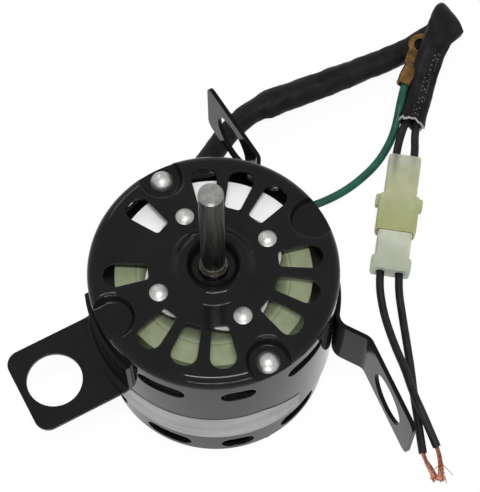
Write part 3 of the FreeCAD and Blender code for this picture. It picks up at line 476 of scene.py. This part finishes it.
def contact_point(along, across):
    """Place in the connector, along its axis from the lead end and across it."""
    return CONNECTOR + (polar(along, HEADING) + polar(across, HEADING + 90)) / MM


def connector_ends(along, side):
    """A straight run of a lead on its contact's line."""
    return [tuple(contact_point(place, side)) for place in along]


# Control points of the routes, in millimetres
receptacle_run, plug_run = (-4, 4), (45.6, 53.6)
plug_exit = 45.7
lower_left_exit = contact_point(plug_exit, -CONTACT_SIDE)
lower_right_exit = contact_point(plug_exit, CONTACT_SIDE)
sleeve_start = bushing_point(2.9)
ground_start = bushing_point(-5.6)
sleeve_route = [
    tuple(sleeve_start), (-12.7, 48.0, 11.0), (-11.3, 59.5, 9.2), (-7.0, 70.8, 6.6), (-1.0, 81.6, 5.0),
    (6.3, 92.4, 4.7), (14.7, 99.7, 4.9), (24.4, 104.0, 5.2), (36.5, 108.8, 5.2), (48.9, 114.2, 5.0),
    (61.2, 119.9, 4.7), (72.2, 125.2, 4.4), (83.0, 131.6, 4.2), (94.3, 138.5, 4.4), (94.5, 139.1, 12.4),
    (90.3, 131.9, 13.0), (87.2, 125.8, 12.3), (84.3, 118.8, 9.4), (81.9, 111.8, 6.0), (79.6, 103.6, 4.4),
    (76.6, 93.3, 4.2)]
ground_route = [
    tuple(ground_start), (-3.87, 47.2, 11.0), (-2.6, 53.5, 9.5), (2.5, 58.5, 6.5), (10.0, 60.0, 3.8),
    (19.0, 59.0, 2.1), (27.5, 57.6, 1.6), (33.0, 57.5, 1.6), (38.4, 59.0, 1.6), (43.9, 61.5, 1.6),
    (49.9, 65.0, 1.6), (55.9, 69.8, 1.6), (62.0, 76.0, 1.6), (66.2, 82.3, 1.6), (69.6, 89.2, 2.2),
    (71.5, 96.0, 4.6), (72.7, 102.3, 7.6), (75.7, 113.3, 9.0)]
upper_left_route = [(77.4, 101.8, 4.4), (75.1, 95.2, 4.3), (72.9, 89.8, 4.3)] + connector_ends(
    receptacle_run, -CONTACT_SIDE)
upper_right_route = [(80.4, 100.9, 4.4), (79.2, 94.0, 4.3), (77.9, 88.0, 4.3)] + connector_ends(
    receptacle_run, CONTACT_SIDE)
lower_left_route = connector_ends(plug_run, -CONTACT_SIDE) + [
    (62.7, 14.6, 1.6), (64.7, 6.5, 1.6), (67.0, -1.5, 2.4), (69.6, -10.2, 5.2), (72.2, -20.0, 5.5),
    (75.0, -26.9, 5.2), (78.0, -33.4, 2.4), (80.2, -39.0, 1.6)]
lower_right_route = connector_ends(plug_run, CONTACT_SIDE) + [
    (70.1, 10.6, 1.6), (71.2, 0.5, 1.6), (72.2, -9.4, 1.6), (72.8, -19.2, 1.6), (73.6, -26.9, 1.6),
    (74.3, -34.5, 1.6), (75.0, -41.3, 1.6)]


def length_of(line):
    """Length along a line of points."""
    return sum((b - a).length for a, b in zip(line, line[1:]))


def lead(name, route, radius, material, body, node):
    """Smooth insulated lead in place of its solid."""
    thing = spline_object(name, route, radius)
    thing.data.materials.append(material)
    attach(thing, body)
    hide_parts(node)
    return thing


def superellipse(angle, power):
    """Unit cross-section, round at power 1 and squarer below it."""
    c, s = math.cos(angle), math.sin(angle)
    return math.copysign(abs(c) ** power, c), math.copysign(abs(s) ** power, s)


def smoothstep(low, high, value):
    """Eased share of the way from low to high."""
    t = min(1.0, max(0.0, (value - low) / (high - low)))
    return t * t * (3 - 2 * t)


def blend_at(table, value):
    """Value between (place, amount) pairs, eased."""
    for (a, first), (b, second) in zip(table, table[1:]):
        if value <= b:
            return first + (second - first) * smoothstep(a, b, value)
    return table[-1][1]


# Half width and half height of the sleeve in millimetres, by the distance in millimetres from its fold
SLEEVE_WIDTH = [
    (-200, 4.4), (-132, 4.2), (-112, 4.3), (-91, 4.5), (-86, 5.7), (-60, 5.3), (-35, 4.9), (-22, 4.6),
    (-12, 5.3), (-4, 7.1), (0, 7.8), (5, 7.8), (10, 6.9), (15, 5.8), (22, 5.5), (60, 5.5)]
SLEEVE_HEIGHT = [
    (-200, 4.4), (-132, 4.3), (-91, 4.4), (-86, 5.1), (-60, 5.0), (-35, 4.6), (-22, 4.1), (-12, 3.3),
    (-4, 2.4), (0, 2.3), (5, 2.5), (15, 2.8), (22, 3.0), (45, 3.5), (60, 3.9)]
CUT_SLOT, STITCH_SLOT = 1, 2


def add_stitches(mesh, around, first, last):
    """Two rows of small pale stitches that run down the second leg."""
    dice = random.Random(11)
    first_row, drift, chance = 30.2, 2.2, 0.7
    shape = bmesh.new()
    shape.from_mesh(mesh)
    shape.faces.ensure_lookup_table()
    chosen = []
    for index in range(first, last):
        row = first_row + drift * (index - first) / (last - first)
        for k in (int(row), int(row) + 1 + index % 2):
            if dice.random() < chance:
                chosen.append(shape.faces[index * around + k])
    bmesh.ops.inset_individual(shape, faces=chosen, thickness=0.34 * MM, depth=0.04 * MM)
    for face in chosen:
        face.material_index = STITCH_SLOT
    shape.to_mesh(mesh)
    shape.free()


def sleeve_section(angle, along, taped):
    """Direction of a point of the sleeve's section, and how far tape laps and creases lift it."""
    x, y = superellipse(angle, 0.74 + 0.26 * taped)
    tape_width, lap_height = 13.0, 0.22
    across_tape = (along / tape_width + angle / (2 * math.pi)) % 1.0
    lap = lap_height * smoothstep(0.0, 0.12, across_tape) - lap_height * across_tape
    creases = noise.noise(Vector((x * 2, y * 2, along * 0.22))) * 0.28
    fine = noise.noise(Vector((x * 5, y * 5, along * 0.9))) * 0.09
    return x, y, taped * lap + creases + fine


def sleeve():
    """Taped first leg, flattened fold and second leg, with an open ragged end."""
    line = evenly(spline_line("sleeve_line", sleeve_route), 1 * MM)
    total = length_of(line)
    around = 44
    rise = [(after.z - before.z) / (after - before).length for before, after in zip(line, line[1:])]
    fold = rise.index(max(rise))
    verts, rings = [], []
    side = Vector((0, 0, 1)).cross(line[1] - line[0]).normalized()
    for index, place in enumerate(line):
        before = line[max(index - 1, 0)]
        after = line[min(index + 1, len(line) - 1)]
        tangent = (after - before).normalized()
        side = (side - tangent * side.dot(tangent)).normalized()
        up = tangent.cross(side)
        share = index / (len(line) - 1)
        past = index - fold
        half_width, half_height = blend_at(SLEEVE_WIDTH, past), blend_at(SLEEVE_HEIGHT, past)
        taped = 1 - smoothstep(-24, -12, past)
        cut = smoothstep(0.955, 1.0, share)
        ring = []
        for k in range(around):
            angle = 2 * math.pi * k / around
            x, y, bulge = sleeve_section(angle, share * total / MM, taped)
            frays = cut * 0.35 * noise.noise(Vector((angle * 6, 0, 3)))
            offset = side * (half_width + bulge + frays) * x + up * (half_height + bulge + frays) * y
            ragged = tangent * (cut ** 6 * 1.8 * noise.noise(Vector((angle * 4.3, 1.7, 0))))
            ring.append(len(verts))
            verts.append(place + (offset + ragged) * MM)
        rings.append(ring)
    edge = rings[-1]
    tangent = (line[-1] - line[-2]).normalized()
    for depth, shrink in ((0.3, 0.87), (3.0, 0.82), (7.0, 0.78)):   # the inside of the open end
        centre = line[-1] - tangent * depth * MM
        rings.append(list(range(len(verts), len(verts) + around)))
        verts.extend([centre + (verts[k] - line[-1]) * shrink for k in edge])
    thing = mesh_object("sleeve", verts, tube_faces(rings), tape, "motor")
    thing.data.materials.append(cut_thread)
    thing.data.materials.append(stitching)
    last_band = len(line) - 2
    for polygon in list(thing.data.polygons)[last_band * around:(last_band + 2) * around]:
        polygon.material_index = CUT_SLOT
    add_stitches(thing.data, around, fold + 21, len(line) - 3)
    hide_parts("harness_sleeve")
    return thing, line, total


sleeve_piece, sleeve_path, sleeve_length = sleeve()
ground_wire = lead("ground_wire", ground_route, LEAD_RADIUS, green_skin, "motor", "ground_lead")
upper_left = lead("upper_wire_left", upper_left_route, LEAD_RADIUS, insulation, "motor", "upper_lead_left")
upper_right = lead("upper_wire_right", upper_right_route, LEAD_RADIUS, insulation, "motor",
                   "upper_lead_right")
lower_left = lead("lower_wire_left", lower_left_route, LOWER_LEAD_RADIUS, insulation, "plug",
                  "lower_lead_left")
lower_right = lead("lower_wire_right", lower_right_route, LOWER_LEAD_RADIUS, insulation, "plug",
                   "lower_lead_right")


def circle(radius, angles):
    """Places on a circle, at angles in degrees."""
    return [(radius * math.cos(math.radians(a)), radius * math.sin(math.radians(a))) for a in angles]


def stamped_plate(loops, half_thickness, edge):
    """Flat sheet inside the first loop of millimetre places and outside the others, with rounded edges."""
    curve = bpy.data.curves.new("terminal_outline", "CURVE")
    curve.dimensions = "2D"
    curve.fill_mode = "BOTH"
    curve.extrude = half_thickness * MM
    curve.bevel_depth = edge * MM
    curve.bevel_resolution = 1
    for loop in loops:
        spline = curve.splines.new("POLY")
        spline.points.add(len(loop) - 1)
        for point, (x, y) in zip(spline.points, loop):
            point.co = (x * MM, y * MM, 0, 1)
        spline.use_cyclic_u = True
    flat = bpy.data.objects.new("terminal_flat", curve)
    bpy.context.scene.collection.objects.link(flat)
    plate = bpy.data.meshes.new_from_object(flat)
    verts = [vertex.co.copy() for vertex in plate.vertices]
    faces = [tuple(polygon.vertices) for polygon in plate.polygons]
    bpy.data.objects.remove(flat)
    bpy.data.meshes.remove(plate)
    return verts, faces


def ring_terminal():
    """Stamped ring terminal: a ring, a wide tongue and a flattened barrel, dented where it is crimped."""
    ring_radius, hole_radius = 5.25, 3.2
    tongue = [(6.5, -3.7), (10.5, -3.2), (11.2, -2.6), (11.2, 2.6), (10.5, 3.2), (6.5, 3.7)]
    outline = circle(ring_radius, range(48, 313, 6)) + tongue
    verts, faces = stamped_plate((outline, circle(hole_radius, range(0, 360, 8))), 0.3, 0.1)
    flat_faces = len(faces)
    around = 32
    # place along the tongue, half width and half height of the barrel, in millimetres
    stations = [
        (9.2, 2.6, 0.35), (10.0, 2.8, 0.8), (11.2, 2.9, 1.5), (12.4, 2.9, 2.0), (13.4, 2.9, 2.05),
        (14.2, 3.0, 2.0), (15.6, 3.05, 1.95), (17.0, 3.0, 2.0), (17.8, 2.85, 2.05), (19.4, 2.75, 2.15),
        (20.2, 2.75, 2.15), (20.4, 2.65, 2.05), (20.4, 1.75, 1.7), (18.6, 1.7, 1.65)]
    seam_depth, seam_width = 0.075, 0.12
    rings = []
    for x, half_width, half_height in stations:
        rings.append(list(range(len(verts), len(verts) + around)))
        for k in range(around):
            across, up = superellipse(2 * math.pi * k / around, 0.85)
            seam = seam_depth * math.exp(-((across / seam_width) ** 2)) if up > 0 else 0
            verts.append(mm(x, half_width * across, half_height * (up - seam)))
    faces += tube_faces(rings)
    hole_centre = mm(82.2, 127.2, 9.0)
    heading = math.radians(245.3)
    placed = []
    for vertex in verts:
        x = vertex.x * math.cos(heading) - vertex.y * math.sin(heading)
        y = vertex.x * math.sin(heading) + vertex.y * math.cos(heading)
        placed.append(Vector((x, y, vertex.z)) + hole_centre)
    thing = mesh_object("stamped_terminal", placed, faces, brass, "motor", smooth=False)
    for polygon in list(thing.data.polygons)[flat_faces:]:
        polygon.use_smooth = True
    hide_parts("ring_terminal")
    return thing


terminal = ring_terminal()


def strands(name, routes, body):
    """Bare strands as one mesh of thin tubes, each on its own smooth curve."""
    sides = 6
    verts, faces = [], []
    for route, radius in routes:
        line = evenly(spline_line("strand_line", route), 0.6 * MM)
        side = Vector((0, 0, 1))
        rings = []
        for index, place in enumerate(line):
            tangent = (line[min(index + 1, len(line) - 1)] - line[max(index - 1, 0)]).normalized()
            side = (side - tangent * side.dot(tangent)).normalized()
            up = tangent.cross(side)
            rings.append(list(range(len(verts), len(verts) + sides)))
            for k in range(sides):
                angle = 2 * math.pi * k / sides
                verts.append(place + (side * math.cos(angle) + up * math.sin(angle)) * radius * MM)
        faces += tube_faces(rings)
    return mesh_object(name, verts, faces, strand_copper, body)


STRAND_RADIUS, STRAY_RADIUS = 0.22, 0.14


def bundle(places, count, spread, seed):
    """Routes of loosely twisted strands that follow the places; each place has its own room round it."""
    dice = random.Random(seed)
    twist = 0.9          # radians from one place to the next
    lowest = 0.25        # millimetres over the floor
    routes = []
    for index in range(count):
        start = 2 * math.pi * index / count
        out = dice.uniform(0.35, 1.0)
        route = []
        for step, (x, y, z, room) in enumerate(places):
            angle = start + step * twist
            reach = room * out
            route.append((x + reach * math.cos(angle), y + reach * 0.5 * math.cos(angle + 1),
                          max(lowest, z + reach * math.sin(angle))))
        x, y, z = route[-1]
        route.append((x + dice.uniform(-spread, spread), y - dice.uniform(0.2, spread),
                      max(lowest, z - 0.5)))
        routes.append((route, STRAND_RADIUS))
    return routes


strand_routes = bundle([(80.0, -38.6, 1.6, 0.7), (81.0, -43.0, 1.5, 1.0), (81.3, -46.9, 1.4, 1.1),
                        (80.9, -50.5, 1.2, 1.2)], 18, 1.3, 3)
strand_routes += bundle([(74.9, -40.9, 1.6, 0.7), (76.0, -44.5, 1.5, 1.0), (77.4, -47.3, 1.4, 1.1),
                         (78.9, -50.3, 1.2, 1.2)], 18, 1.5, 5)
strand_routes += [
    ([(81.6, -45.0, 1.6), (82.4, -46.5, 2.0), (83.8, -47.6, 1.6), (85.5, -49.1, 0.4)], STRAY_RADIUS),
    ([(81.2, -46.0, 1.6), (82.3, -48.5, 1.7), (82.6, -50.5, 1.2), (83.1, -52.4, 0.4)], STRAY_RADIUS),
    ([(81.0, -45.5, 2.2), (79.6, -47.0, 2.6), (78.4, -47.9, 2.0), (77.6, -48.6, 1.2)], STRAY_RADIUS)]
bare_strands = strands("bare_strands", strand_routes, "plug")
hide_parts("bare_ends")

for thing, start, route, diameter, far_end, extra in (
        (ground_wire, ground_start, ground_route, 0.0032, "fitting", [terminal]),
        (lower_left, lower_left_exit, lower_left_route, 0.0031, "bare", [bare_strands]),
        (lower_right, lower_right_exit, lower_right_route, 0.0031, "bare", [])):
    round(length_of(spline_line("line", route)), 3)


# Floor and light
def background_rays(material):
    """1 for rays from the camera, from reflections and through clear things, which all see white."""
    paths = add(material, "ShaderNodeLightPath")
    seen = paths.outputs["Is Camera Ray"]
    for kind in ("Is Glossy Ray", "Is Transmission Ray"):
        either = add(material, "ShaderNodeMath", operation="MAXIMUM")
        link(material, seen, either.inputs[0])
        link(material, paths.outputs[kind], either.inputs[1])
        seen = either.outputs[0]
    return seen


def mixed_shader(material, factor, first, second):
    """Surface between two by factor."""
    node = add(material, "ShaderNodeMixShader")
    link(material, factor, node.inputs["Fac"])
    link(material, first.outputs[0], node.inputs[1])
    link(material, second.outputs[0], node.inputs[2])
    return node


def stage_floor():
    """White floor that keeps part of the object's shadow, and is clear from below."""
    reach, drop, whiteness = 3.0, -0.2 * MM, 0.93
    mesh = bpy.data.meshes.new("floor")
    corners = [(-reach, -reach, 0), (reach, -reach, 0), (reach, reach, 0), (-reach, reach, 0)]
    mesh.from_pydata(corners, [], [(0, 1, 2, 3)])
    floor = bpy.data.objects.new("floor", mesh)
    bpy.context.scene.collection.objects.link(floor)
    floor.location = (0, 0, drop)
    material, shader = new_material("floor_white", (0.92, 0.92, 0.92), 0.8)
    glow = add(material, "ShaderNodeEmission", Color=(1, 1, 1, 1))
    share = add(material, "ShaderNodeMath", operation="MULTIPLY")
    share.inputs[1].default_value = whiteness
    link(material, background_rays(material), share.inputs[0])
    above = mixed_shader(material, share.outputs[0], shader, glow)
    below = add(material, "ShaderNodeNewGeometry").outputs["Backfacing"]
    clear = add(material, "ShaderNodeBsdfTransparent")
    surface = mixed_shader(material, below, above, clear)
    link(material, surface.outputs[0], material.node_tree.nodes["Material Output"].inputs["Surface"])
    mesh.materials.append(material)


def stage_world():
    """White as seen; as light, pale behind the object and darker overhead and in front."""
    world = bpy.data.worlds.new("world")
    bpy.context.scene.world = world
    world.use_nodes = True
    direction = add(world, "ShaderNodeTexCoord").outputs["Generated"]
    height = component(world, direction, "Z")
    front = ramp(world, height, [(0.0, 0.7), (0.2, 0.12), (0.9, 0.2)])
    back = ramp(world, height, [(0.0, 1.0), (0.5, 0.95), (0.95, 0.85)])
    backward = share_between(world, component(world, direction, "Y"), -0.35, 0.35)
    sky = mixed(world, backward, front, back)
    white_seen = mixed(world, background_rays(world), sky, (1, 1, 1))
    link(world, white_seen, world.node_tree.nodes["Background"].inputs["Color"])


def lamp(name, place, aim, size, power):
    """Soft box at a place, turned to its aim; metres and watts."""
    data = bpy.data.lights.new(name, "AREA")
    data.shape = "RECTANGLE"
    data.size, data.size_y = size
    data.energy = power
    thing = bpy.data.objects.new(name, data)
    bpy.context.scene.collection.objects.link(thing)
    thing.location = place
    thing.rotation_euler = (Vector(aim) - Vector(place)).to_track_quat("-Z", "Y").to_euler()


stage_floor()
stage_world()
lamp("top_box", (0.05, -0.28, 1.2), (0, 0, 0.05), (0.5, 0.065), 8.6)
lamp("front_box", (0.05, -0.8, 0.34), (0, 0, 0.06), (0.6, 0.012), 3.6)
lamp("back_box", (-0.5, 0.9, 0.8), (0, 0.03, 0.05), (0.3, 0.3), 1.5)
bpy.context.scene.view_settings.view_transform = "Standard"
